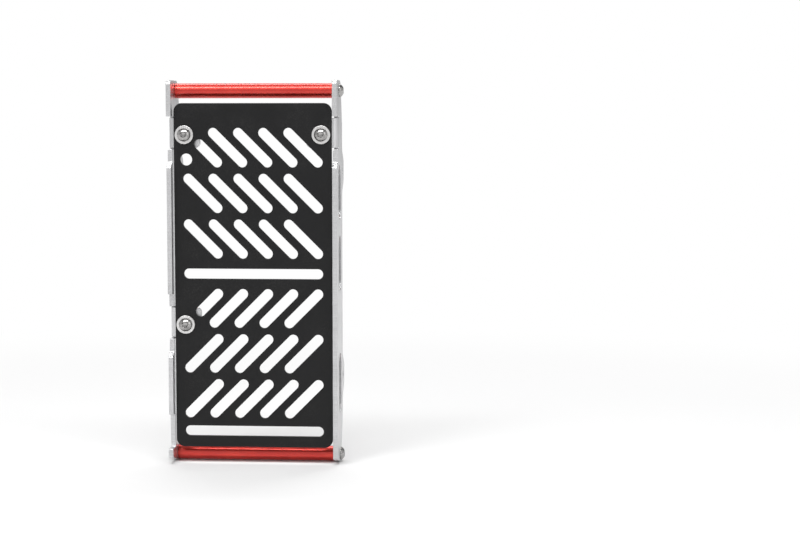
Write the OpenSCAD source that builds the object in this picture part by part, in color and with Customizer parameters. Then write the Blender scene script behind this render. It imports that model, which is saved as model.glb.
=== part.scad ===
// Guard for one motorcycle radiator: a slotted front plate, screwed to bent tabs of two side plates
// that two round spacers hold apart. The front plate faces -Y and +Z is up. The outer side plate is
// at -X and the inner one at +X. The origin lies at the lowest level, midway across and along.

/* [Front plate] */
// Width of the front plate
plate_w = 133; // [120:1:150]
// Height of the front plate
plate_h = 290; // [280:1:330]
// Thickness of the front plate
plate_t = 3; // [2:0.5:4]
// Radius of the front plate's corners
plate_corner_r = 7; // [4:0.5:9]
// Chamfer round the front plate and round its slots
plate_chamfer = 0.5; // [0.3:0.1:0.8]

/* [Slots] */
// Width of every slot
slot_w = 8.5; // [6:0.5:9.5]
// Columns of slanted slots
slot_columns = 5; // [3:1:5]
// Rows of slanted slots on each side of the middle slot
slot_rows = 3; // [2:1:3]
// From the plate's upper edge down to the upper ends of the topmost slots
slot_end_margin = 24.9; // [23:0.1:32]
// From the plate's middle up to the middle slot's centre line
slot_centre_rise = 2; // [0:0.1:3]
// Rise of a slanted slot from end centre to end centre, which is also its run
slot_rise = 24.5; // [18:0.5:26]
// From the middle slot's centre line to the nearest ends of the slanted slots
row_start = 17; // [15:0.1:19]
// From the plate's upright edges to the end centres of the outermost slots
slot_margin = 11.9; // [10:0.1:15]
// From the plate's lower edge to the lowest slot's centre line
low_slot_rise = 13.7; // [10:0.1:14]
// How much rise a slanted slot beside an outer screw gives up
screw_slot_cut = 9.5; // [8:0.5:12]
// Diameter of the round hole below the upper outer screw
round_hole_d = 10; // [6:0.5:12]
// From the upper outer screw down to the round hole
round_hole_drop = 20.7; // [18:0.1:23]
// From the plate's upright edge to the round hole's centre
round_hole_inset = 10.4; // [9:0.1:12]

/* [Side plates] */
// Thickness of the side plates
side_t = 4; // [3:0.5:5]
// Gap between the front plate's edge and a side plate
side_gap = 1; // [0.5:0.1:1.5]
// How far a side plate's plain front edge stands ahead of the front plate
lip = 7; // [4:0.5:8]
// How far its stepped back stretches stand ahead of the front plate
relief_lip = 0.5; // [0.5:0.5:2]
// How far the outer side plate's toe stands ahead of the front plate
toe_lip = 10; // [9:0.5:13]
// Height of a stepped back stretch beside a tab
relief_h = 12; // [6:0.5:14]
// Height of the ramp from a stepped back stretch to the plain front edge
ramp_h = 4; // [3:0.5:8]
// From the plate's lower edge up to the step above the outer side plate's foot
foot_h = 28; // [20:0.5:32]
// From the plate's lower edge up to where the foot's front edge begins to slope back
heel_h = 11.4; // [8:0.1:14]
// How far the foot's front edge slopes back from there down to the toe
heel_depth = 3; // [1:0.5:5]
// From the plate's lower edge down to the toe's upper edge
toe_drop = 0.5; // [0:0.1:2]
// Height of the toe's front edge
toe_h = 8; // [6:0.5:9]
// From the front plate's face back to the rear edge of the side plates
band_depth = 36; // [34:0.5:42]
// From the top spacer's centre up to the side plates' top edge
top_edge_rise = 8.7; // [7.5:0.1:11]
// Radius of the side plates' round lower end about the low spacer
nose_r = 6.8; // [6.5:0.1:8]

/* [Lightening windows] */
// Width of a window in a side plate
window_w = 20; // [12:1:22]
// Height of the webs between the windows and from them to the tabs
window_web = 14; // [10:0.5:17]
// From the front plate's face back to the windows' centre line
window_setback = 16; // [15:0.5:18]

/* [Tabs] */
// From a side plate's inner face to the free end of a tab
tab_reach = 22.6; // [18:0.2:26]
// Height of a tab
tab_h = 25; // [20:0.5:30]
// Inner radius of a tab's bend
bend_r = 2; // [1:0.5:4]
// Radius of the corners at a tab's free end
tab_corner_r = 4; // [2:0.5:6]
// Width of the relief cut at each end of a bend
relief_cut_w = 1.2; // [0.8:0.1:2]
// From the front plate's upright edge to a screw's centre
screw_inset = 8.9; // [8.2:0.1:10]
// From a tab's middle down to the screw's centre
screw_drop = 1.5; // [0:0.1:3]

/* [Spacers] */
// Diameter of the round spacers
spacer_d = 12.6; // [11:0.1:13]
// From the front plate's upper edge up to the top spacer's centre
top_spacer_rise = 10.3; // [7:0.1:12]
// From the front plate's lower edge down to the low spacer's centre
low_spacer_drop = 7.2; // [6:0.1:9]
// From the front plate's face back to the spacers' centres
spacer_setback = 16; // [14:0.5:20]
// Depth of the tapped hole in each end of a spacer
tapped_depth = 18; // [15:1:24]
// Chamfer at the ends of the spacers
spacer_chamfer = 0.6; // [0.3:0.1:1]

/* [Screws] */
// Thread diameter of every screw
screw_d = 6; // [5:1:6]
// Length of the plate screws under the head
plate_screw_l = 16; // [16:1:20]
// Length of the spacer screws under the head
spacer_screw_l = 14; // [12:1:16]
// Diameter of a button head
head_d = 11.4; // [10:0.1:12]
// Height of a button head
head_h = 3.3; // [2.8:0.1:3.6]
// Diameter of the flat on top of a button head
head_flat_d = 5.4; // [5:0.1:6]
// Height of the upright rim below a button head's dome
head_rim_h = 0.6; // [0.3:0.1:1]
// Size of the hexagon socket across its flats
socket_af = 4; // [3:0.5:4]
// Depth of the hexagon socket
socket_depth = 2.2; // [1.5:0.1:2.4]
// Outer diameter of a washer
washer_d = 15.6; // [13:0.1:16]
// Thickness of a washer
washer_t = 1.6; // [1:0.1:2]
// Size of a lock nut across its flats
nut_af = 10; // [9:0.5:10]
// Height of a lock nut's hexagon
nut_h = 4.6; // [4:0.1:5]
// Height of the collar behind a lock nut's hexagon
collar_h = 1.4; // [1:0.1:2]
// Clearance round a screw in its hole
hole_clear = 0.3; // [0.2:0.05:0.5]
// Clearance round a screw in its thread
thread_clear = 0.04; // [0.02:0.01:0.08]

/* [Mounts] */
// Diameter of the mount holes
mount_hole_d = 6.6; // [5.5:0.1:7]
// From the front plate's upper and lower edges to the level of the mount holes
mount_inset = 57.5; // [50:0.5:68]
// From the front plate's face back to the mount holes
mount_setback = 39; // [37:0.5:46]
// From a mount hole's centre back to the edge of its ear
ear_reach = 9; // [7:0.5:11]
// Height of an ear where it leaves the side plate
ear_h = 36; // [28:1:44]

/* [Hidden] */
$fn = 64;
// Overrun of a cutter past the face that it opens
over = 1;
// Segments in a rounded corner of an outline
corner_steps = 6;
// Angles, from straight down, between which the side plates' lower end is round
nose_start = -10;
nose_end = 50;
nose_step = 7.5;
// Corner radii of the side plates' outlines
edge_r = 1;
toe_r = 3;
ramp_r = 2;
top_corner_r = 4;
shoulder_r = 8;
ear_corner_r = 7;

// Heights
low_spacer_z = nose_r;
plate_low_z = low_spacer_z + low_spacer_drop;
plate_top_z = plate_low_z + plate_h;
plate_mid_z = plate_low_z + plate_h / 2;
top_spacer_z = plate_top_z + top_spacer_rise;
side_top_z = top_spacer_z + top_edge_rise;
middle_slot_z = plate_mid_z + slot_centre_rise;
row_pitch = (plate_top_z - slot_end_margin - slot_rise - row_start - middle_slot_z) / max(slot_rows - 1, 1);
toe_top_z = plate_low_z - toe_drop;
// Depths: the toe and the ears reach equally far from the origin
rear_reach = mount_setback + ear_reach;
face_y = (toe_lip - rear_reach) / 2;
tab_y = face_y + plate_t;
// Widths
inner_face_x = plate_w / 2 + side_gap;
outer_face_x = inner_face_x + side_t;
bend_outer_r = bend_r + side_t;
tab_end_x = inner_face_x - tab_reach;
screw_x = plate_w / 2 - screw_inset;
column_pitch = (plate_w - 2 * slot_margin - slot_rise) / max(slot_columns - 1, 1);
// Heights of the tabs' middles, which are those of the slot ends that the screws stand in for
upper_tab_z = plate_top_z - slot_end_margin;
lower_tab_z = middle_slot_z - row_start - slot_rise;
upper_screw_z = upper_tab_z - screw_drop;
lower_screw_z = lower_tab_z - screw_drop;
mount_zs = [plate_top_z - mount_inset, plate_low_z + mount_inset];
// Two windows share the span between the tabs, and the third lies between the foot and the lower tab
window_h = (upper_tab_z - lower_tab_z - tab_h - 3 * window_web) / 2;
low_window_h = lower_tab_z - tab_h / 2 - window_web - plate_low_z - foot_h;
// Each window as [height of its middle, its own height]
windows = [[upper_tab_z - tab_h / 2 - window_web - window_h / 2, window_h],
    [lower_tab_z + tab_h / 2 + window_web + window_h / 2, window_h],
    [plate_low_z + foot_h + low_window_h / 2, low_window_h]];

// Place, as [across, up], of a corner on an outline
function at(p) = [p[0], p[1]];
function unit(v) = v / norm(v);
// Turn from one direction to another by the short way
function turn(from, to) = let (d = to - from) d > 180 ? d - 360 : d < -180 ? d + 360 : d;
// Arc that rounds the corner p between its neighbours, for a corner given as [across, up, radius]
function corner_arc(before, p, after) =
    p[2] == 0 ? [at(p)] :
    let (a = unit(at(before) - at(p)), b = unit(at(after) - at(p)), half = acos(a * b) / 2,
        centre = at(p) + unit(a + b) * p[2] / sin(half),
        first = at(p) + a * p[2] / tan(half) - centre, last = at(p) + b * p[2] / tan(half) - centre,
        start = atan2(first[1], first[0]), sweep = turn(start, atan2(last[1], last[0])))
    [for (i = [0 : corner_steps])
        centre + p[2] * [cos(start + sweep * i / corner_steps), sin(start + sweep * i / corner_steps)]];
// Outline through rounded corners
function rounded(ps) = [for (i = [0 : len(ps) - 1])
    each corner_arc(ps[(i + len(ps) - 1) % len(ps)], ps[i], ps[(i + 1) % len(ps)])];

// Cylinder along +Y from the point p, given as [x, z], at the depth y
module across(p, y, h, d1, d2) {
    translate([p[0], y, p[1]]) rotate([-90, 0, 0]) cylinder(d1 = d1, d2 = d2, h = h);
}

// Half of a slot's section, as [outwards, back from the front face], with its chamfer
slot_half_section = [[0, -over], [slot_w / 2 + plate_chamfer + over, -over], [slot_w / 2, plate_chamfer],
    [slot_w / 2, plate_t + over], [0, plate_t + over]];

// Cutter for a slot between two end centres, given as [x, z]
module slot_cut(from, to) {
    run = to - from;
    length = norm(run);
    translate([from[0], face_y, from[1]]) rotate([-90, -atan2(run[1], run[0]), 0]) {
        for (side = [0, 1]) mirror([0, side, 0]) rotate([90, 0, 90])
            linear_extrude(length) polygon(slot_half_section);
        rotate([0, 0, 90]) rotate_extrude(angle = 180) polygon(slot_half_section);
        translate([length, 0, 0]) rotate([0, 0, -90]) rotate_extrude(angle = 180) polygon(slot_half_section);
    }
}

// Cutter for a round hole through the front plate, with its chamfer on the front face
module round_cut(p, d) {
    across(p, face_y - over, plate_t + 2 * over, d, d);
    across(p, face_y - over, over + plate_chamfer, d + 2 * (plate_chamfer + over), d);
}

// Slanted slots: side is 1 above the middle slot and -1 below it
module slanted_slots(side) {
    for (column = [0 : slot_columns - 1], row = [0 : slot_rows - 1]) {
        beside_screw = column == 0 && row == (side > 0 ? slot_rows - 1 : 0);
        cut = beside_screw ? screw_slot_cut : 0;
        x = -plate_w / 2 + slot_margin + column * column_pitch;
        rise = row_start + row * row_pitch;
        slot_cut([x + cut, middle_slot_z + side * (rise + slot_rise - cut)],
            [x + slot_rise, middle_slot_z + side * rise]);
    }
}

// Cutters for the chamfer round the front plate's outline: each edge with the corner at its end
module outline_chamfer() {
    c = plate_chamfer;
    // Section of the cutter, as [outwards, back from the front face]
    wedge = [[-c, -over], [over, -over], [over, c + over], [-c, 0]];
    for (i = [0 : 3]) {
        out = (i % 2 == 0 ? plate_w : plate_h) / 2;
        along = (i % 2 == 0 ? plate_h : plate_w) / 2 - plate_corner_r;
        translate([0, face_y, plate_mid_z]) rotate([0, -90 * i, 0]) {
            translate([out, 0, -along]) linear_extrude(2 * along) polygon(wedge);
            translate([out - plate_corner_r, 0, -along]) rotate([-90, 0, 0])
                rotate_extrude(angle = 90) translate([plate_corner_r, 0]) polygon(wedge);
        }
    }
}

// The slotted front plate, cut from sheet
module front_plate() {
    half_w = plate_w / 2 - plate_corner_r;
    half_h = plate_h / 2 - plate_corner_r;
    color("#202124") difference() {
        translate([0, face_y, plate_mid_z]) {
            for (x = [-half_w, half_w], z = [-half_h, half_h])
                across([x, z], 0, plate_t, 2 * plate_corner_r, 2 * plate_corner_r);
            translate([-half_w, 0, -plate_h / 2]) cube([2 * half_w, plate_t, plate_h]);
            translate([-plate_w / 2, 0, -half_h]) cube([plate_w, plate_t, 2 * half_h]);
        }
        outline_chamfer();
        slanted_slots(1);
        slanted_slots(-1);
        for (z = [middle_slot_z, plate_low_z + low_slot_rise])
            slot_cut([-plate_w / 2 + slot_margin, z], [plate_w / 2 - slot_margin, z]);
        round_cut([round_hole_inset - plate_w / 2, upper_screw_z - round_hole_drop], round_hole_d);
        for (p = [[-screw_x, upper_screw_z], [-screw_x, lower_screw_z], [screw_x, upper_screw_z]])
            round_cut(p, screw_d + 2 * hole_clear);
    }
}

// Front edge of the outer side plate, from its top to its toe
outer_front = [[-lip, side_top_z, top_corner_r],
    [-lip, upper_tab_z, 0],
    [-relief_lip, upper_tab_z, 0],
    [-relief_lip, upper_tab_z - tab_h / 2 - relief_h, ramp_r],
    [-lip, upper_tab_z - tab_h / 2 - relief_h - ramp_h, ramp_r],
    [-lip, lower_tab_z + tab_h / 2 + relief_h, edge_r],
    [-relief_lip, lower_tab_z + tab_h / 2 + relief_h, edge_r],
    [-relief_lip, lower_tab_z - tab_h / 2 - relief_h, ramp_r],
    [-lip, lower_tab_z - tab_h / 2 - relief_h - ramp_h, ramp_r],
    [-lip, plate_low_z + foot_h, edge_r],
    [-relief_lip, plate_low_z + foot_h, edge_r],
    [-relief_lip, plate_low_z + heel_h, 0],
    [heel_depth - relief_lip, toe_top_z, edge_r],
    [-toe_lip, toe_top_z, edge_r],
    [-toe_lip, toe_top_z - toe_h, toe_r]];
// Front edge of the inner side plate, which is plain below its one tab
inner_front = [[-lip, side_top_z, top_corner_r],
    [-lip, upper_tab_z, 0],
    [-relief_lip, upper_tab_z, 0],
    [-relief_lip, upper_tab_z - tab_h / 2 - relief_h, ramp_r],
    [-lip, upper_tab_z - tab_h / 2 - relief_h - ramp_h, ramp_r],
    [-lip, toe_top_z - toe_h, toe_r]];
// Rear edge of both side plates, from the low end to the top, with an ear round each mount hole
function ear(z) = [[band_depth, z - ear_h / 2, shoulder_r], [rear_reach, z - ear_reach, ear_corner_r],
    [rear_reach, z + ear_reach, ear_corner_r], [band_depth, z + ear_h / 2, shoulder_r]];
rear_edge = [for (a = [nose_start : nose_step : nose_end])
        [spacer_setback + nose_r * sin(a), nose_r - nose_r * cos(a), 0],
    [band_depth, plate_low_z + foot_h, shoulder_r],
    each ear(mount_zs[1]), each ear(mount_zs[0]),
    [band_depth, top_spacer_z - foot_h, shoulder_r],
    [spacer_setback + top_edge_rise, side_top_z, shoulder_r]];

// Flat sheet with the given front edge, from the side plate's inner face outwards along +X
module flat_sheet(front) {
    translate([inner_face_x, face_y, 0]) rotate([90, 0, 90]) linear_extrude(side_t)
        polygon(rounded(concat(front, rear_edge)));
}

// Cutter that ends the flat sheet at a tab's bend, with a relief cut at each end
module tab_clearance(z) {
    bend_y = tab_y + bend_outer_r;
    translate([inner_face_x - over, face_y - lip - over, z - tab_h / 2 - relief_cut_w])
        cube([side_t + 2 * over, bend_y - face_y + lip + over, tab_h + 2 * relief_cut_w]);
    for (end = [z - tab_h / 2 - relief_cut_w, z + tab_h / 2])
        translate([inner_face_x - over, face_y - over, end])
            cube([side_t + 2 * over, bend_y - face_y + over + relief_cut_w, relief_cut_w]);
}

// Tab that turns from the side plate to lie behind the front plate, centred on the height z
module tab(z) {
    bend_x = outer_face_x - bend_outer_r;
    bend_y = tab_y + bend_outer_r;
    translate([0, 0, z - tab_h / 2]) difference() {
        union() {
            intersection() {
                translate([bend_x, bend_y, 0]) cylinder(r = bend_outer_r, h = tab_h);
                translate([bend_x, tab_y, 0]) cube([bend_outer_r, bend_outer_r, tab_h]);
            }
            translate([tab_end_x + tab_corner_r, tab_y, 0]) cube([bend_x - tab_end_x - tab_corner_r, side_t, tab_h]);
            translate([tab_end_x, tab_y, tab_corner_r]) cube([tab_corner_r, side_t, tab_h - 2 * tab_corner_r]);
            for (end = [tab_corner_r, tab_h - tab_corner_r])
                across([tab_end_x + tab_corner_r, end], tab_y, side_t, 2 * tab_corner_r, 2 * tab_corner_r);
        }
        translate([bend_x, bend_y, -over]) cylinder(r = bend_r, h = tab_h + 2 * over);
        across([screw_x, tab_h / 2 - screw_drop], tab_y - over, side_t + 2 * over, screw_d + 2 * hole_clear,
            screw_d + 2 * hole_clear);
    }
}

// Hole along X through a side plate, at the setback s and the height z
module side_hole(s, z, d) {
    translate([inner_face_x - over, face_y + s, z]) rotate([0, 90, 0]) cylinder(d = d, h = side_t + 2 * over);
}

// Lightening window with round ends, centred on the height z
module window(z, h) {
    for (end = [-1, 1])
        side_hole(window_setback, z + end * (h - window_w) / 2, window_w);
    translate([inner_face_x - over, face_y + window_setback - window_w / 2, z - (h - window_w) / 2])
        cube([side_t + 2 * over, window_w, h - window_w]);
}

// Side plate with its tabs, drawn on the +X side
module side_plate(front, tab_zs) {
    difference() {
        flat_sheet(front);
        for (z = tab_zs) tab_clearance(z);
        for (w = windows) window(w[0], w[1]);
        for (z = mount_zs) side_hole(mount_setback, z, mount_hole_d);
        for (z = [low_spacer_z, top_spacer_z]) side_hole(spacer_setback, z, screw_d + 2 * hole_clear);
    }
    for (z = tab_zs) tab(z);
}

// Outer side plate, with the stepped front edge and two tabs
module outer_side_plate() {
    color("#b9bbbd") mirror([1, 0, 0]) side_plate(outer_front, [upper_tab_z, lower_tab_z]);
}

// Inner side plate, with one tab
module inner_side_plate() {
    color("#b9bbbd") side_plate(inner_front, [upper_tab_z]);
}

// Round spacer between the side plates, tapped at both ends
module spacer(z) {
    length = 2 * inner_face_x;
    bore_r = screw_d / 2 + thread_clear;
    color("#c4181f") translate([0, face_y + spacer_setback, z]) rotate([0, 90, 0]) difference() {
        union() {
            translate([0, 0, spacer_chamfer - length / 2]) cylinder(d = spacer_d, h = length - 2 * spacer_chamfer);
            for (end = [0, 1]) mirror([0, 0, end]) translate([0, 0, length / 2 - spacer_chamfer])
                cylinder(d1 = spacer_d, d2 = spacer_d - 2 * spacer_chamfer, h = spacer_chamfer);
        }
        for (end = [0, 1]) mirror([0, 0, end]) translate([0, 0, length / 2 - tapped_depth])
            cylinder(r = bore_r, h = tapped_depth + over);
    }
}

module top_spacer() { spacer(top_spacer_z); }
module low_spacer() { spacer(low_spacer_z); }

// Button head screw with its seat at the origin, its head towards +Z and its thread towards -Z
module screw(length) {
    // Height of the dome's centre, so that it meets the rim below and the flat above
    dome_z = ((head_flat_d / 2) ^ 2 - (head_d / 2) ^ 2 + head_h ^ 2 - head_rim_h ^ 2)
        / (2 * (head_h - head_rim_h));
    dome_r = norm([head_d / 2, head_rim_h - dome_z]);
    color("#c9cbcc") difference() {
        union() {
            intersection() {
                cylinder(d = head_d, h = head_h);
                translate([0, 0, dome_z]) sphere(r = dome_r);
            }
            translate([0, 0, -length + screw_d / 10]) cylinder(d = screw_d, h = length - screw_d / 10);
            translate([0, 0, -length]) cylinder(d1 = screw_d * 0.8, d2 = screw_d, h = screw_d / 10);
        }
        translate([0, 0, head_h - socket_depth])
            cylinder(d = socket_af / cos(30), h = socket_depth + over, $fn = 6);
    }
}

// Washer on the front plate under a screw's head, at the place p, given as [x, z]
module plate_washer(p) {
    color("#d2d4d5") difference() {
        across(p, face_y - washer_t, washer_t, washer_d, washer_d);
        across(p, face_y - washer_t - over, washer_t + 2 * over, screw_d + 2 * hole_clear, screw_d + 2 * hole_clear);
    }
}

module plate_screw(p) {
    translate([p[0], face_y - washer_t, p[1]]) rotate([90, 0, 0]) screw(plate_screw_l);
}

// Lock nut behind a tab: a hexagon with turned corners and a round collar
module plate_nut(p) {
    corner_d = nut_af / cos(30);
    color("#c9cbcc") translate([p[0], tab_y + side_t, p[1]]) rotate([-90, 0, 0]) difference() {
        union() {
            intersection() {
                cylinder(d = corner_d, h = nut_h, $fn = 6);
                cylinder(d1 = corner_d + 2 * nut_h, d2 = nut_af * 0.97, h = nut_h + 0.5);
            }
            translate([0, 0, nut_h]) cylinder(d1 = nut_af * 0.92, d2 = nut_af * 0.84, h = collar_h);
        }
        translate([0, 0, -over]) cylinder(r = screw_d / 2 + thread_clear, h = nut_h + collar_h + 2 * over);
    }
}

// Screw through a side plate into the end of a spacer, drawn at +X
module spacer_screw(z) {
    translate([outer_face_x, face_y + spacer_setback, z]) rotate([0, 90, 0]) screw(spacer_screw_l);
}

module upper_outer_screw() { plate_screw([-screw_x, upper_screw_z]); }
module lower_outer_screw() { plate_screw([-screw_x, lower_screw_z]); }
module upper_inner_screw() { plate_screw([screw_x, upper_screw_z]); }
module upper_outer_washer() { plate_washer([-screw_x, upper_screw_z]); }
module lower_outer_washer() { plate_washer([-screw_x, lower_screw_z]); }
module upper_inner_washer() { plate_washer([screw_x, upper_screw_z]); }
module upper_outer_nut() { plate_nut([-screw_x, upper_screw_z]); }
module lower_outer_nut() { plate_nut([-screw_x, lower_screw_z]); }
module upper_inner_nut() { plate_nut([screw_x, upper_screw_z]); }
module top_spacer_outer_screw() { mirror([1, 0, 0]) spacer_screw(top_spacer_z); }
module top_spacer_inner_screw() { spacer_screw(top_spacer_z); }
module low_spacer_outer_screw() { mirror([1, 0, 0]) spacer_screw(low_spacer_z); }
module low_spacer_inner_screw() { spacer_screw(low_spacer_z); }

front_plate();
outer_side_plate();
inner_side_plate();
top_spacer();
low_spacer();
upper_outer_screw();
lower_outer_screw();
upper_inner_screw();
upper_outer_washer();
lower_outer_washer();
upper_inner_washer();
upper_outer_nut();
lower_outer_nut();
upper_inner_nut();
top_spacer_outer_screw();
top_spacer_inner_screw();
low_spacer_outer_screw();
low_spacer_inner_screw();
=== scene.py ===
"""A slotted motorcycle radiator guard, dressed for rendering.

The front plate faces -Y, +Z is up, and the outer side plate is at -X. The guard's shapes are worked
out in millimetres and put into their meshes in metres. The stage at the end is in metres.
"""
import math

import bmesh
import bpy
import numpy as np
from mathutils import Matrix, Vector


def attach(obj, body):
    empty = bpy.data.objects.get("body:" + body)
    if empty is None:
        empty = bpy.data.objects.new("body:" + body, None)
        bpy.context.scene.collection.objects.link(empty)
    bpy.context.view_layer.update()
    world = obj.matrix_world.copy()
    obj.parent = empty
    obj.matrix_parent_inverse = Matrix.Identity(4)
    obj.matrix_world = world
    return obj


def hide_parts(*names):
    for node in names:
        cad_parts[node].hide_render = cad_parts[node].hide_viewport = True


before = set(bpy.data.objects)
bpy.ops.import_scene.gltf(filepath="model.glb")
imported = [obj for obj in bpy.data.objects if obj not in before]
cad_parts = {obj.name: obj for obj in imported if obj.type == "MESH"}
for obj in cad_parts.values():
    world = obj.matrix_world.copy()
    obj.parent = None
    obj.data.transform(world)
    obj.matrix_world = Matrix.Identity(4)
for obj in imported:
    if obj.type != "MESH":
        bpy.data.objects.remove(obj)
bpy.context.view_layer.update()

# The front plate is one flat sheet of aluminium, cut with a herringbone of slots, its edges eased,
# and then powder coated in satin black. It lies on the tabs of the side plates.
plate_width = 133.0
plate_height = 290.0
plate_thickness = 3.0
plate_corner = 7.0
plate_edge_ease = 0.45
plate_front = -19.0
plate_low = 14.0
plate_top = plate_low + plate_height
plate_middle = plate_low + plate_height / 2
plate_left = -plate_width / 2
slot_width = 8.5
slot_columns = 5
slot_rows = 3
slot_rise = 24.5
slot_margin = 11.9
slot_pitch = (plate_width - 2 * slot_margin - slot_rise) / (slot_columns - 1)
middle_slot_rise = 2.0
middle_slot = plate_middle + middle_slot_rise
low_slot_rise = 13.7
low_slot = plate_low + low_slot_rise
row_start = 17.0
upper_tab_drop = 24.9
upper_tab = plate_top - upper_tab_drop
lower_tab = middle_slot - row_start - slot_rise
row_pitch = (upper_tab - slot_rise - row_start - middle_slot) / (slot_rows - 1)
screw_hole = 6.6
screw_inset = 8.9
screw_drop = 1.5
screw_slot_cut = 9.5
screw_across = plate_width / 2 - screw_inset
plate_screws = [(-screw_across, upper_tab - screw_drop), (-screw_across, lower_tab - screw_drop),
                (screw_across, upper_tab - screw_drop)]
round_hole = 10.0
round_hole_inset = 10.4
round_hole_drop = 20.7


def whole_turn(steps):
    """Angles of a ring's points, in equal steps round a whole circle."""
    return np.linspace(0, 2 * math.pi, steps, endpoint=False)


def slot_outline(start, end, width, steps=20):
    """Outline of a slot: half a circle about each end centre, turned to the way the slot runs,
    and the straight sides between the two halves."""
    start, end = np.array(start, float), np.array(end, float)
    heading = math.atan2(end[1] - start[1], end[0] - start[0])
    turn = heading + np.linspace(-math.pi / 2, math.pi / 2, steps)
    half = width / 2 * np.column_stack([np.cos(turn), np.sin(turn)])
    return np.concatenate([end + half, start - half])


def hole_outline(centre, diameter, steps=48):
    """Outline of a round hole: its centre plus the radius turned through a whole circle."""
    turn = whole_turn(steps)
    return np.array(centre) + diameter / 2 * np.column_stack([np.cos(turn), np.sin(turn)])


def rounded_outline(corners, steps=9):
    """Outline through corners given as (across, up, radius). The arc's centre lies on the corner's
    bisector, at the radius over the sine of half the corner, and the arc touches both sides. A
    point that falls on the one before it is left out."""
    same_place = 1e-4
    corners = np.array(corners, float)
    tip, radius = corners[:, :2], corners[:, 2]
    back = np.roll(tip, 1, 0) - tip
    ahead = np.roll(tip, -1, 0) - tip
    back /= np.linalg.norm(back, axis=1)[:, None]
    ahead /= np.linalg.norm(ahead, axis=1)[:, None]
    half = np.arccos(np.clip((back * ahead).sum(1), -1, 1)) / 2
    inward = (back + ahead) / np.linalg.norm(back + ahead, axis=1)[:, None]
    centre = tip + inward * (radius / np.sin(half))[:, None]
    reach = (radius / np.tan(half))[:, None]
    first, last = tip + back * reach - centre, tip + ahead * reach - centre
    start = np.arctan2(first[:, 1], first[:, 0])
    sweep = (np.arctan2(last[:, 1], last[:, 0]) - start + math.pi) % (2 * math.pi) - math.pi
    turn = start[:, None] + sweep[:, None] * np.linspace(0, 1, steps)
    arc = centre[:, None] + radius[:, None, None] * np.stack([np.cos(turn), np.sin(turn)], 2)
    arc[radius == 0] = tip[radius == 0][:, None]
    outline = arc.reshape(-1, 2)
    step = np.linalg.norm(outline - np.roll(outline, 1, 0), axis=1)
    return outline[step > same_place]


def cut_sheet(name, outline, holes, thickness, eased, folds=()):
    """Flat sheet in X and Y, thick in Z: the outline and the holes are filled as a flat curve,
    thickened both ways and rounded at its edges by the eased radius. It is also cut through at
    each X in folds, where it can bend, and the slivers beside these cuts are dissolved. The
    attribute cut_edge is 1 on its cut walls."""
    same_place, sliver, wall_tilt = 0.002, 0.003, 0.5
    curve = bpy.data.curves.new(name, "CURVE")
    curve.dimensions = "2D"
    curve.fill_mode = "BOTH"
    curve.extrude = thickness / 2 - eased
    curve.bevel_depth = eased
    curve.bevel_resolution = 2
    curve.offset = -eased
    for points in [outline, *holes]:
        spline = curve.splines.new("POLY")
        spline.points.add(len(points) - 1)
        height_and_weight = np.tile([0.0, 1.0], (len(points), 1))
        spline.points.foreach_set("co", np.hstack([points, height_and_weight]).ravel())
        spline.use_cyclic_u = True
    flat = bpy.data.objects.new(name, curve)
    mesh = bpy.data.meshes.new_from_object(flat)
    bpy.data.objects.remove(flat)
    bpy.data.curves.remove(curve)
    sheet = bmesh.new()
    sheet.from_mesh(mesh)
    bmesh.ops.remove_doubles(sheet, verts=sheet.verts, dist=same_place)
    bmesh.ops.recalc_face_normals(sheet, faces=sheet.faces)
    for fold in folds:
        bmesh.ops.bisect_plane(sheet, geom=sheet.verts[:] + sheet.edges[:] + sheet.faces[:],
                               plane_co=(fold, 0, 0), plane_no=(1, 0, 0))
    bmesh.ops.dissolve_degenerate(sheet, edges=sheet.edges[:], dist=sliver)
    sheet.to_mesh(mesh)
    sheet.free()
    facing = np.empty(3 * len(mesh.polygons))
    mesh.polygons.foreach_get("normal", facing)
    wall = np.abs(facing.reshape(-1, 3)[:, 2]) < wall_tilt
    mesh.attributes.new("cut_edge", "FLOAT", "FACE").data.foreach_set("value", wall.astype(float))
    mesh.shade_smooth()
    return mesh


def points_of(mesh):
    """The mesh's points as an array of three columns."""
    flat = np.empty(3 * len(mesh.vertices))
    mesh.vertices.foreach_get("co", flat)
    return flat.reshape(-1, 3)


def add_piece(name, mesh, points, finish, *nodes):
    """Puts the points, given in millimetres, into the mesh in metres, and the piece in the place of
    the CAD nodes that it stands for."""
    millimetre = 0.001
    mesh.vertices.foreach_set("co", (np.asarray(points) * millimetre).ravel())
    mesh.materials.append(finish.owner)
    mesh.update()
    piece = bpy.data.objects.new(name, mesh)
    bpy.context.scene.collection.objects.link(piece)
    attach(piece, "root")
    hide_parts(*nodes)
    return piece


def even_shading(piece):
    """Lets the large flat faces set the shading, so that only the eased edges catch the light."""
    shading = piece.modifiers.new("even_shading", "WEIGHTED_NORMAL")
    shading.mode = "FACE_AREA"
    shading.weight = 100
    shading.keep_sharp = True


class Wire:
    """An output socket of a shader node. Its operators add the Math nodes of an expression."""

    def __init__(self, finish, socket):
        self.finish, self.socket = finish, socket

    def reckon(self, operation, first, second):
        """The outcome of one Math node on two numbers or wires."""
        return self.finish.node("Math", {"operation": operation}, {0: first, 1: second})

    def __add__(self, other):
        return self.reckon("ADD", self, other)

    def __rsub__(self, other):
        return self.reckon("SUBTRACT", other, self)

    def __mul__(self, other):
        return self.reckon("MULTIPLY", self, other)

    __radd__, __rmul__ = __add__, __mul__


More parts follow.
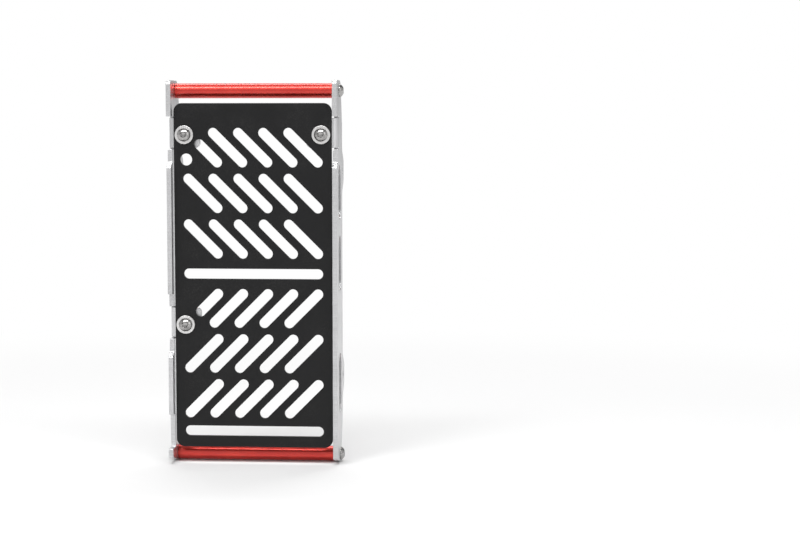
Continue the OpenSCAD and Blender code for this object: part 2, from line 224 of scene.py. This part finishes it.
class Finish:
    """The shader of a material or of the world. The material is made under the name it is given."""

    def __init__(self, slot, owners=bpy.data.materials):
        self.slot = slot
        self.owner = owners.new(slot)
        self.owner.use_nodes = True
        self.tree = self.owner.node_tree
        self.tree.nodes.clear()

    def node(self, kind, settings={}, sockets={}, output=0):
        """Adds a node and returns its output. Its settings are set first, and then each socket that
        is named or numbered gets its value or its link."""
        node = self.tree.nodes.new("ShaderNode" + kind)
        for key, value in settings.items():
            setattr(node, key, value)
        for key, value in sockets.items():
            if isinstance(value, Wire):
                self.tree.links.new(value.socket, node.inputs[key])
            else:
                node.inputs[key].default_value = value
        return Wire(self, node.outputs[output]) if node.outputs else None

    def noise(self, scale, stretch=(1, 1, 1), detail=3.0, roughness=0.5):
        """Noise on the piece's own place, whose grain is 1 / scale metres and is drawn out where
        the stretch is small."""
        place = self.node("TexCoord", output="Object")
        drawn = self.node("Mapping", {}, {"Vector": place, "Scale": stretch})
        return self.node("TexNoise", {}, {"Vector": drawn, "Scale": scale, "Detail": detail,
                                          "Roughness": roughness})

    def band(self, wire, low, high, from_value=0.0, to_value=1.0):
        """The wire's run from low to high, eased into a run between the two given values."""
        return self.node("MapRange", {"interpolation_type": "SMOOTHSTEP"},
                         {"Value": wire, "From Min": low, "From Max": high,
                          "To Min": from_value, "To Max": to_value})

    def blend(self, factor, first, second):
        """The first colour where the factor is 0, and the second where it is 1."""
        return self.node("Mix", {"data_type": "RGBA"}, {0: factor, 6: (*first, 1), 7: (*second, 1)},
                         output=2)

    def close(self, height, distance, strength, **sockets):
        """Ends the material: the height makes the bumps, and the sockets are the shader's own."""
        bump = self.node("Bump", {}, {"Height": height, "Distance": distance, "Strength": strength})
        named = {key.replace("_", " "): value for key, value in sockets.items()}
        surface = self.node("BsdfPrincipled", {}, {**named, "Normal": bump}, output="BSDF")
        self.node("OutputMaterial", {}, {"Surface": surface})


coat_black = (0.0055, 0.0055, 0.006)
coat_dust = (0.03, 0.029, 0.028)
coat = Finish("black_coat")
peel = coat.noise(1100, detail=1.5)
speckle = coat.noise(5200, detail=2)
wear = coat.noise(38, detail=4, roughness=0.6)
dusty = coat.band(wear, 0.42, 0.72) * coat.band(coat.noise(1500, detail=2), 0.45, 0.7)
coat.close(
    height=peel + 0.25 * speckle, distance=0.00009, strength=0.55,
    Base_Color=coat.blend(0.5 * dusty, coat_black, coat_dust),
    Roughness=coat.band(wear, 0.3, 0.7, 0.36, 0.47) + 0.08 * dusty,
    Specular_IOR_Level=0.29)

slots = []
for side in (1, -1):
    for column in range(slot_columns):
        across = plate_left + slot_margin + column * slot_pitch
        for row in range(slot_rows):
            beside_screw = column == 0 and row == (slot_rows - 1 if side > 0 else 0)
            cut = screw_slot_cut if beside_screw else 0
            start = row_start + row * row_pitch
            slots.append(slot_outline((across + cut, middle_slot + side * (start + slot_rise - cut)),
                                      (across + slot_rise, middle_slot + side * start), slot_width))
for height in (middle_slot, low_slot):
    slots.append(slot_outline((plate_left + slot_margin, height), (-plate_left - slot_margin, height),
                              slot_width))
round_holes = [hole_outline((plate_left + round_hole_inset, upper_tab - screw_drop - round_hole_drop),
                            round_hole)]
round_holes += [hole_outline(centre, screw_hole) for centre in plate_screws]
plate_corners = [(plate_left, plate_low, plate_corner), (-plate_left, plate_low, plate_corner),
                 (-plate_left, plate_top, plate_corner), (plate_left, plate_top, plate_corner)]
mesh = cut_sheet("front_plate", rounded_outline(plate_corners, steps=16), slots + round_holes,
                 plate_thickness, plate_edge_ease)
flat = points_of(mesh)
points = np.column_stack([flat[:, 0], plate_front + plate_thickness / 2 - flat[:, 2], flat[:, 1]])
even_shading(add_piece("front_plate_sheet", mesh, points, coat, "front_plate"))

# Each side plate is one sheet of bare aluminium, cut with its holes, windows and stepped front edge.
# Its tabs are then bent to lie behind the front plate, with a relief cut at each end of a bend.
side_thickness = 4.0
side_edge_ease = 0.35
side_gap = 1.0
inner_face = plate_width / 2 + side_gap
lip, relief_lip, toe_lip = 7.0, 0.5, 10.0
relief_height, ramp_height = 12.0, 4.0
foot_height, heel_height, heel_depth = 28.0, 11.4, 3.0
toe_drop, toe_height = 0.5, 8.0
toe_top = plate_low - toe_drop
band_depth = 36.0
spacer_setback = 16.0
nose_radius, nose_start, nose_end, nose_points = 6.8, -10.0, 50.0, 9
low_spacer = nose_radius
top_spacer_rise = 10.3
top_spacer = plate_top + top_spacer_rise
top_edge_rise = 8.7
side_top = top_spacer + top_edge_rise
tab_height, tab_reach = 25.0, 22.6
relief_cut = 1.2
bend_inner = 2.0
bend_outer = bend_inner + side_thickness
bend_middle = (bend_inner + bend_outer) / 2
bend_line = plate_thickness + bend_outer
bend_length = math.pi / 2 * bend_middle
bend_steps = 12
tab_straight = tab_reach - bend_inner
mount_hole, mount_inset, mount_setback = 6.6, 57.5, 39.0
mount_heights = (plate_top - mount_inset, plate_low + mount_inset)
ear_height, ear_tip, ear_depth = 36.0, 18.0, 48.0
window_width, window_web = 20.0, 14.0
relief_corner, step_corner, ramp_corner, toe_corner = 0.4, 1.0, 2.0, 3.0
lip_corner, tab_corner, ear_corner, band_corner = 4.0, 4.0, 7.0, 8.0

aluminium_bright = (0.71, 0.71, 0.72)
aluminium_dull = (0.57, 0.57, 0.575)
aluminium = Finish("bare_aluminium")
cut_edge = aluminium.node("Attribute", {"attribute_name": "cut_edge"}, output="Fac")
brushed = aluminium.noise(1800, (1, 1, 0.02), detail=4, roughness=0.6)
torch = aluminium.noise(1500, (0.06, 1, 1), detail=3)
lines = brushed * (1 - cut_edge) + torch * cut_edge
smudge = aluminium.noise(45, detail=4, roughness=0.6)
scratch = aluminium.band(aluminium.noise(420, (1, 1, 0.06), detail=5, roughness=0.7), 0.62, 0.70)
shade = aluminium.band(0.45 * smudge + 0.55 * lines, 0.33, 0.70)
aluminium.close(
    height=lines + 0.5 * scratch, distance=0.00008, strength=0.45,
    Base_Color=aluminium.blend(shade, aluminium_bright, aluminium_dull),
    Roughness=0.24 + 0.2 * lines + 0.08 * smudge,
    Metallic=1.0)


def tab_outline(height):
    """Corners of a flat pattern's tab, from its upper relief cut down to its lower one."""
    top, low = height + tab_height / 2, height - tab_height / 2
    root, end = bend_line + relief_cut, bend_line - bend_length - tab_straight
    return [(root, top + relief_cut, relief_corner), (root, top, relief_corner),
            (end, top, tab_corner), (end, low, tab_corner),
            (root, low, relief_corner), (root, low - relief_cut, relief_corner)]


def edge_below(height):
    """Corners of the front edge below a tab: straight down from the relief cut, hardly proud of
    the front plate, and then down a ramp that runs out to the lip."""
    low = height - tab_height / 2
    return [(-relief_lip, low - relief_cut, relief_corner),
            (-relief_lip, low - relief_height, ramp_corner),
            (-lip, low - relief_height - ramp_height, ramp_corner)]


def side_pattern(front, tabs):
    """Flat pattern of a side plate, as depth behind the front plate's face and height: its outline
    down the front edge, round the nose and up the rear edge with its two ears, and its holes."""
    turn = np.radians(np.linspace(nose_start, nose_end, nose_points))
    nose = np.column_stack([spacer_setback + nose_radius * np.sin(turn),
                            nose_radius - nose_radius * np.cos(turn), np.zeros(nose_points)])
    rear = [(band_depth, plate_low + foot_height, band_corner)]
    for height in reversed(mount_heights):
        rear += [(band_depth, height - ear_height / 2, band_corner),
                 (ear_depth, height - ear_tip / 2, ear_corner),
                 (ear_depth, height + ear_tip / 2, ear_corner),
                 (band_depth, height + ear_height / 2, band_corner)]
    rear += [(band_depth, top_spacer - foot_height, band_corner),
             (spacer_setback + top_edge_rise, side_top, band_corner)]
    holes = [hole_outline((mount_setback, height), mount_hole) for height in mount_heights]
    holes += [hole_outline((spacer_setback, height), screw_hole) for height in (low_spacer, top_spacer)]
    pair = (upper_tab - lower_tab - tab_height - 3 * window_web) / 2
    low = lower_tab - tab_height / 2 - window_web - plate_low - foot_height
    for middle, height in [(upper_tab - tab_height / 2 - window_web - pair / 2, pair),
                           (lower_tab + tab_height / 2 + window_web + pair / 2, pair),
                           (plate_low + foot_height + low / 2, low)]:
        reach = (height - window_width) / 2
        holes.append(slot_outline((spacer_setback, middle - reach), (spacer_setback, middle + reach),
                                  window_width))
    screw_depth = bend_line - bend_length - (inner_face - bend_inner - screw_across)
    holes += [hole_outline((screw_depth, height - screw_drop), screw_hole) for height in tabs]
    return rounded_outline([*front, *nose, *rear]), holes


def bend_tabs(flat, tabs, side):
    """Bends the tabs of a flat pattern. A point beyond the bend line turns about the bend's centre
    by its distance from the line over the bend's middle radius, up to a quarter turn, and what lies
    beyond the bend runs straight on. The side is 1 at +X and -1 at -X."""
    slack = 0.1
    depth, height = flat[:, 0], flat[:, 1]
    outward = side_thickness / 2 + side * flat[:, 2]
    on_tab = np.any([np.abs(height - tab) < tab_height / 2 + slack for tab in tabs], axis=0)
    beyond = np.where(on_tab, np.maximum(bend_line - depth, 0), 0)
    turn = np.minimum(beyond, bend_length) / bend_middle
    straight = np.maximum(beyond - bend_length, 0)
    radius = bend_inner + outward
    across = inner_face - bend_inner + radius * np.cos(turn) - straight
    behind = np.where(beyond > 0, bend_line - radius * np.sin(turn), depth)
    return np.column_stack([side * across, plate_front + behind, height])


upper_front = [(-lip, side_top, lip_corner),
               (-lip, upper_tab + tab_height / 2 + relief_cut, relief_corner),
               *tab_outline(upper_tab), *edge_below(upper_tab)]
lower_relief = lower_tab + tab_height / 2 + relief_height
lower_front = [(-lip, lower_relief, step_corner), (-relief_lip, lower_relief, step_corner),
               (-relief_lip, lower_tab + tab_height / 2 + relief_cut, relief_corner),
               *tab_outline(lower_tab), *edge_below(lower_tab),
               (-lip, plate_low + foot_height, step_corner),
               (-relief_lip, plate_low + foot_height, step_corner),
               (-relief_lip, plate_low + heel_height, 0),
               (heel_depth - relief_lip, toe_top, step_corner), (-toe_lip, toe_top, step_corner),
               (-toe_lip, toe_top - toe_height, toe_corner)]
plain_front = [(-lip, toe_top - toe_height, toe_corner)]
folds = bend_line - bend_length * np.linspace(0, 1, bend_steps + 1)
for name, front, tabs, side in [
        ("outer_side_plate", upper_front + lower_front, [upper_tab, lower_tab], -1),
        ("inner_side_plate", upper_front + plain_front, [upper_tab], 1)]:
    outline, holes = side_pattern(front, tabs)
    mesh = cut_sheet(name, outline, holes, side_thickness, side_edge_ease, folds)
    points = bend_tabs(points_of(mesh), tabs, side)
    even_shading(add_piece(name + "_sheet", mesh, points, aluminium, name))

# The two spacers are turned from round aluminium bar, tapped at both ends and anodised red. They
# hold the side plates apart above and below the front plate.
spacer_diameter = 12.6
spacer_length = 2 * inner_face
spacer_depth = plate_front + spacer_setback
spacer_edge_ease = 0.6
tapped_depth = 18.0
bore_radius = 3.04
bore_chamfer = 0.4

anodised_bright = (0.72, 0.052, 0.037)
anodised_deep = (0.62, 0.038, 0.029)
anodised = Finish("red_anodised")
lathe = anodised.noise(2600, (1, 0.02, 0.02), detail=3)
cloud = anodised.noise(60, detail=3)
anodised.close(
    height=lathe, distance=0.00004, strength=0.35,
    Base_Color=anodised.blend(anodised.band(cloud, 0.3, 0.7), anodised_bright, anodised_deep),
    Roughness=0.24 + 0.14 * lathe,
    Metallic=0.85, Coat_Weight=0.6, Coat_Roughness=0.07)


def stack_rings(profile, turn):
    """Rings about Z at the angles of the turn, from pairs of a radius and a height. A radius is one
    number, or one for each angle."""
    return np.array([np.column_stack([radius * np.cos(turn), radius * np.sin(turn),
                                      np.full(len(turn), height)]) for radius, height in profile])


def closed_rings(rings, first_pole, last_pole):
    """Points and faces of a solid: a stack of rings, with a pole on the axis before the first ring
    and one after the last. The faces look outwards where the outer wall runs down."""
    count, steps = rings.shape[:2]
    points = np.concatenate([[(0, 0, first_pole)], rings.reshape(-1, 3), [(0, 0, last_pole)]])
    row = 1 + steps * np.arange(count - 1)[:, None]
    last = 1 + steps * (count - 1)
    here = np.arange(steps)
    ahead = (here + 1) % steps
    start = np.column_stack([here + 1, ahead + 1, np.zeros(steps, int)])
    walls = np.stack([row + steps + here, row + steps + ahead, row + ahead, row + here], 2)
    end = np.column_stack([last + ahead, last + here, np.full(steps, last + steps)])
    return points, [*start.tolist(), *walls.reshape(-1, 4).tolist(), *end.tolist()]


def solid_mesh(name, points, faces, sharp=35):
    """Mesh of a closed solid whose edges are sharp where its faces turn by more than the angle."""
    mesh = bpy.data.meshes.new(name)
    mesh.from_pydata(points, [], faces)
    mesh.shade_smooth()
    mesh.set_sharp_from_angle(angle=math.radians(sharp))
    return mesh


def eased_corner(radius, height, size, steps=4):
    """Quarter round of the given size at a profile's corner, from its top face to its outer wall."""
    turn = np.linspace(math.pi / 2, 0, steps)
    return [(radius - size + size * math.cos(t), height - size + size * math.sin(t)) for t in turn]


half_length = spacer_length / 2
upper_half = [(0, half_length - tapped_depth), (bore_radius, half_length - tapped_depth),
              (bore_radius, half_length - bore_chamfer), (bore_radius + bore_chamfer, half_length),
              *eased_corner(spacer_diameter / 2, half_length, spacer_edge_ease)]
spacer_profile = upper_half + [(radius, -height) for radius, height in reversed(upper_half)]
spacer_rings = stack_rings(spacer_profile[1:-1], whole_turn(64))
spacer_points, faces = closed_rings(spacer_rings, spacer_profile[0][1], spacer_profile[-1][1])
for name, height in (("top_spacer", top_spacer), ("low_spacer", low_spacer)):
    points = spacer_points[:, [2, 0, 1]] + np.array([0, spacer_depth, height])
    even_shading(add_piece(name + "_bar", solid_mesh(name, points, faces), points, anodised, name))

# Button-head screws of stainless steel hold the sheets and the spacers together. The head is cold
# headed with a hexagon socket, and the thread is rolled. The plate's screws sit on washers.
thread_diameter, thread_pitch, thread_groove = 6.0, 1.0, 0.55
thread_start, thread_fade, thread_end = 0.6, 1.0, 0.6
tip_inset, tip_chamfer = 0.6, 0.3
head_diameter, head_height, head_flat, head_rim = 11.4, 3.3, 5.4, 0.6
seat_ease = 0.2
socket_across, socket_depth = 4.0, 2.2
socket_cone, cone_share, socket_tip = 0.25, 0.5, 0.45
floor_share, floor_ease = 0.96, 0.1
mouth_depth, mouth_widening, mouth_ease, mouth_drop = 0.35, 0.12, 0.05, 0.08
plate_screw_length, spacer_screw_length = 16.0, 14.0
washer_thickness = 1.6

steel_bright = (0.44, 0.432, 0.425)
steel_dull = (0.31, 0.304, 0.30)
steel = Finish("stainless")
pits = steel.noise(2400, detail=3)
handled = steel.noise(220, detail=4, roughness=0.6)
steel.close(
    height=pits + handled, distance=0.00002, strength=0.25,
    Base_Color=steel.blend(steel.band(handled, 0.35, 0.7), steel_bright, steel_dull),
    Roughness=0.11 + 0.12 * handled,
    Metallic=1.0)


def hexagon(turn, across):
    """Radius at each angle of a hexagon with the given size across its flats: half that size over
    the cosine of the angle from the nearest flat's middle."""
    return across / 2 / np.cos((turn + math.pi / 6) % (math.pi / 3) - math.pi / 6)


def screw_solid(length, steps=48, dome_rings=10):
    """Button-head screw with its seat at height 0 and its head up. From the cone in the socket's
    floor the rings go up the hexagon wall, which a small cone turns into a circle, over the dome,
    whose centre is as far from the flat's edge as from the rim's, and down the shank. The shank's
    radius falls with the distance from the crest of a helix."""
    turn = whole_turn(steps)
    six = hexagon(turn, socket_across)
    floor = head_height - socket_depth
    mouth = socket_across / 2 / math.cos(math.pi / 6) + mouth_widening
    outer, shank = head_diameter / 2, thread_diameter / 2
    profile = [(cone_share * six, floor - socket_cone), (floor_share * six, floor),
               (six, floor + floor_ease), (six, head_height - mouth_depth),
               (np.maximum(six, mouth - mouth_ease), head_height - mouth_drop), (mouth, head_height)]
    dome_centre = (head_flat / 2) ** 2 - outer ** 2 + head_height ** 2 - head_rim ** 2
    dome_centre /= 2 * (head_height - head_rim)
    dome_radius = math.hypot(outer, head_rim - dome_centre)
    lift = np.linspace(math.asin((head_height - dome_centre) / dome_radius),
                       math.asin((head_rim - dome_centre) / dome_radius), dome_rings)
    profile += [(dome_radius * math.cos(a), dome_centre + dome_radius * math.sin(a)) for a in lift]
    profile += [(outer, seat_ease), (outer - seat_ease, 0), (shank, 0)]
    for down in np.arange(thread_start, length - thread_end, thread_pitch / 6):
        phase = (down / thread_pitch + turn / (2 * math.pi)) % 1
        groove = thread_groove * min(1, (down - thread_start) / thread_fade)
        profile.append((shank - groove * np.abs(2 * phase - 1), -down))
    profile += [(shank - tip_inset, tip_chamfer - length), (shank - tip_inset - tip_chamfer, -length)]
    return closed_rings(stack_rings(profile, turn), floor - socket_tip, -length)


def put(points, origin, towards):
    """Turns points that were drawn along +Z to look the given way, and moves them to the origin."""
    turn = np.array(Vector((0, 0, 1)).rotation_difference(Vector(towards)).to_matrix())
    return points @ turn.T + np.array(origin)


head_seat = plate_front - washer_thickness
outer_face = inner_face + side_thickness
plate_screw_names = ("upper_outer_screw", "lower_outer_screw", "upper_inner_screw")
screws = [(name, plate_screw_length, (across, head_seat, height), (0, -1, 0))
          for name, (across, height) in zip(plate_screw_names, plate_screws)]
screws += [(f"{spacer}_{end}_screw", spacer_screw_length, (side * outer_face, spacer_depth, height),
            (side, 0, 0))
           for spacer, height in (("top_spacer", top_spacer), ("low_spacer", low_spacer))
           for end, side in (("outer", -1), ("inner", 1))]
for name, length, origin, towards in screws:
    points, faces = screw_solid(length)
    points = put(points, origin, towards)
    add_piece(name + "_turned", solid_mesh(name, points, faces), points, steel, name)

# Wide flat washers of stainless steel under the heads of the plate's screws. They are stamped, so
# their edges are rounded on one side, and tumbled to a pale satin.
washer_diameter, washer_bore = 15.6, 6.6
washer_round, washer_seat_ease, washer_bore_ease = 0.45, 0.2, 0.15

satin_pale = (0.80, 0.79, 0.785)
satin_grey = (0.71, 0.70, 0.695)
satin = Finish("stainless")
tumbled = satin.noise(1700, detail=3)
rubbed = satin.noise(190, detail=3)
satin.close(
    height=tumbled, distance=0.00002, strength=0.2,
    Base_Color=satin.blend(satin.band(rubbed, 0.3, 0.7), satin_pale, satin_grey),
    Roughness=0.26 + 0.1 * tumbled,
    Metallic=1.0)


def hollow_faces(rings):
    """Faces of a solid with a bore, whose rings close on themselves from the last to the first.
    They look outwards where the rings run out along the seat, up the wall and down the bore."""
    count, steps = rings.shape[:2]
    row, here = np.arange(count)[:, None], np.arange(steps)
    above, ahead = (row + 1) % count * steps, (here + 1) % steps
    row = row * steps
    return np.stack([row + here, row + ahead, above + ahead, above + here], 2).reshape(-1, 4).tolist()


outer, bore = washer_diameter / 2, washer_bore / 2
washer_profile = [(bore + washer_bore_ease, 0), (outer - washer_seat_ease, 0), (outer, washer_seat_ease),
                  *reversed(eased_corner(outer, washer_thickness, washer_round, steps=5)),
                  (bore + washer_bore_ease, washer_thickness),
                  (bore, washer_thickness - washer_bore_ease), (bore, washer_bore_ease)]
washer_rings = stack_rings(washer_profile, whole_turn(64))
washer_names = ("upper_outer_washer", "lower_outer_washer", "upper_inner_washer")
for name, (across, height) in zip(washer_names, plate_screws):
    points = put(washer_rings.reshape(-1, 3), (across, plate_front, height), (0, -1, 0))
    mesh = solid_mesh(name, points, hollow_faces(washer_rings))
    even_shading(add_piece(name + "_ring", mesh, points, satin, name))

# Zinc plated lock nuts behind the tabs: a hexagon with turned corners and a collar, in which a
# nylon ring grips the thread.
nut_across, nut_height, collar_height = 10.0, 4.6, 1.4
nut_bore_chamfer = 0.3
turned_seat = [(0.55, 0.0), (0.2, 0.2), (0.0, 0.5)]
turned_crown = [(0.0, 0.6), (0.25, 0.25), (0.75, 0.0)]
collar = [(4.6, 1.35), (4.5, 0.5), (4.2, 0.1), (4.0, 0.0), (3.6, 0.15), (bore_radius + 0.1, 0.3)]

zinc_bright = (0.70, 0.71, 0.73)
zinc_dull = (0.58, 0.58, 0.56)
zinc = Finish("plated_steel")
bloom = zinc.noise(220, detail=4, roughness=0.6)
zinc.close(
    height=bloom, distance=0.00003, strength=0.3,
    Base_Color=zinc.blend(zinc.band(bloom, 0.35, 0.7), zinc_bright, zinc_dull),
    Roughness=0.28 + 0.16 * bloom,
    Metallic=1.0)


def nut_rings(steps=96):
    """Rings of a lock nut seated at height 0. Each ring of the hexagon has the smaller of two radii
    at each angle, the hexagon's own and a circle's, which is the corners' less what is turned off.
    It lies at a distance from the seat or from the hexagon's top. The collar has its radii at
    distances down from its own top, and the bore ends the stack."""
    turn = whole_turn(steps)
    six, corner = hexagon(turn, nut_across), nut_across / math.sqrt(3)
    profile = [(bore_radius + nut_bore_chamfer, 0)]
    profile += [(np.minimum(six, corner - off), up) for off, up in turned_seat]
    profile += [(np.minimum(six, corner - off), nut_height - down) for off, down in turned_crown]
    profile += [(radius, nut_height + collar_height - down) for radius, down in collar]
    profile += [(bore_radius, nut_height), (bore_radius, nut_bore_chamfer)]
    return stack_rings(profile, turn)


behind_tab = plate_front + plate_thickness + side_thickness
nut_shape = nut_rings()
nut_names = ("upper_outer_nut", "lower_outer_nut", "upper_inner_nut")
for name, (across, height) in zip(nut_names, plate_screws):
    points = put(nut_shape.reshape(-1, 3), (across, behind_tab, height), (0, 1, 0))
    mesh = solid_mesh(name, points, hollow_faces(nut_shape), sharp=25)
    add_piece(name + "_hexagon", mesh, points, zinc, name)

# The guard stands on a plain pale floor that runs out into white, under soft lamps. The camera
# stands to the right of the guard's middle, and nearly as high as its top.
floor_reach = 9.0
floor_corners = [(across * floor_reach, along * floor_reach, 0)
                 for across, along in ((-1, -1), (1, -1), (1, 1), (-1, 1))]
floor_mesh = bpy.data.meshes.new("floor")
floor_mesh.from_pydata(floor_corners, [], [(0, 1, 2, 3)])
floor = bpy.data.objects.new("floor", floor_mesh)
bpy.context.scene.collection.objects.link(floor)


def seen_rays(finish):
    """1 for the rays that look at the backdrop, straight or by way of metal or glass."""
    ways = [finish.node("LightPath", output=f"Is {way} Ray")
            for way in ("Camera", "Glossy", "Transmission")]
    return ways[0] + ways[1] + ways[2]


# The floor is matt near the guard, where it takes the shadow, and shines white further out. From
# below it can be seen through.
white = (1, 1, 1, 1)
matt_pale = (0.84, 0.84, 0.84, 1)
pale = Finish("pale_floor")
place = pale.node("TexCoord", output="Object")
away = pale.node("VectorMath", {"operation": "LENGTH"}, {0: place}, output="Value")
matt = pale.node("BsdfDiffuse", {}, {"Color": matt_pale})
bright = pale.node("Emission", {}, {"Color": white, "Strength": 1.0})
shining = pale.band(away, 0.15, 1.0) * seen_rays(pale)
from_above = pale.node("MixShader", {}, {0: shining, 1: matt, 2: bright})
clear = pale.node("BsdfTransparent")
below = pale.node("NewGeometry", output="Backfacing")
surface = pale.node("MixShader", {}, {0: below, 1: from_above, 2: clear})
pale.node("OutputMaterial", {}, {"Surface": surface})
floor_mesh.materials.append(pale.owner)

# The room is white to the camera. Its light is plain, but darker in an upright band on each side,
# so that the round bars and the screws' heads have an edge.
room_light, band_darkening = 0.66, 0.46
studio = Finish("studio", bpy.data.worlds)
heading = studio.node("TexCoord", output="Generated")
sideways = studio.node("SeparateXYZ", {}, {0: heading}, output="X")
sideways = studio.node("Math", {"operation": "ABSOLUTE"}, {0: sideways})
dark_band = studio.band(sideways, 0.34, 0.46) * (1 - studio.band(sideways, 0.72, 0.84))
strength = room_light - band_darkening * dark_band
room = studio.node("Background", {}, {"Color": white, "Strength": strength})
backdrop = studio.node("Background", {}, {"Color": white, "Strength": 1.0})
camera_ray = studio.node("LightPath", output="Is Camera Ray")
surface = studio.node("MixShader", {}, {0: camera_ray, 1: room, 2: backdrop})
studio.node("OutputWorld", {}, {"Surface": surface})
bpy.context.scene.world = studio.owner


def soft_lamp(name, place, aim, size, power):
    """Area lamp of the given width and height, at a place and looking at another."""
    lamp = bpy.data.lights.new(name, "AREA")
    lamp.shape = "RECTANGLE"
    lamp.size, lamp.size_y = size
    lamp.energy = power
    holder = bpy.data.objects.new(name, lamp)
    holder.location = place
    holder.rotation_euler = (Vector(aim) - Vector(place)).to_track_quat("-Z", "Y").to_euler()
    bpy.context.scene.collection.objects.link(holder)


soft_lamp("key", place=(-1.1, -1.5, 1.9), aim=(0, 0, 0.16), size=(1.2, 1.2), power=17)
soft_lamp("fill", place=(1.8, -1.2, 1.0), aim=(0, 0, 0.16), size=(1.4, 1.4), power=7)
soft_lamp("front_strip", place=(0.1, -0.7, 1.35), aim=(0, 0, 0.2), size=(1.3, 0.26), power=10)
soft_lamp("back_strip", place=(0, 0.75, 1.75), aim=(0, 0, 0.25), size=(1.4, 0.3), power=11)

# The camera's place is given by its azimuth, elevation and distance from a target near the guard's
# middle, and it is turned away from there by the pan, tilt and roll. Its focal length is in pixels.
azimuth, elevation, distance = math.radians(8.58), math.radians(5.0), 1.6
pan, tilt, roll = math.radians(-4.388), math.radians(-0.269), math.radians(-0.042)
target = Vector((0, -0.003, 0.158))
focal_pixels, picture_width = 1881.4, 800


def way_back(turn, lift):
    """Unit vector from the guard to a camera at an azimuth and an elevation."""
    return Vector((math.sin(turn) * math.cos(lift), -math.cos(turn) * math.cos(lift), math.sin(lift)))


lens = bpy.data.cameras.new("camera")
lens.lens = focal_pixels / picture_width * lens.sensor_width
camera = bpy.data.objects.new("camera", lens)
facing = way_back(azimuth + pan, elevation + tilt)
level = Vector((math.cos(azimuth + pan), math.sin(azimuth + pan), 0))
upright = facing.cross(level)
right = math.cos(roll) * level + math.sin(roll) * upright
upper = math.cos(roll) * upright - math.sin(roll) * level
stand = Matrix.Translation(target + distance * way_back(azimuth, elevation))
camera.matrix_world = stand @ Matrix((right, upper, facing)).transposed().to_4x4()
bpy.context.scene.collection.objects.link(camera)
bpy.context.scene.camera = camera
bpy.context.scene.view_settings.view_transform = "Standard"
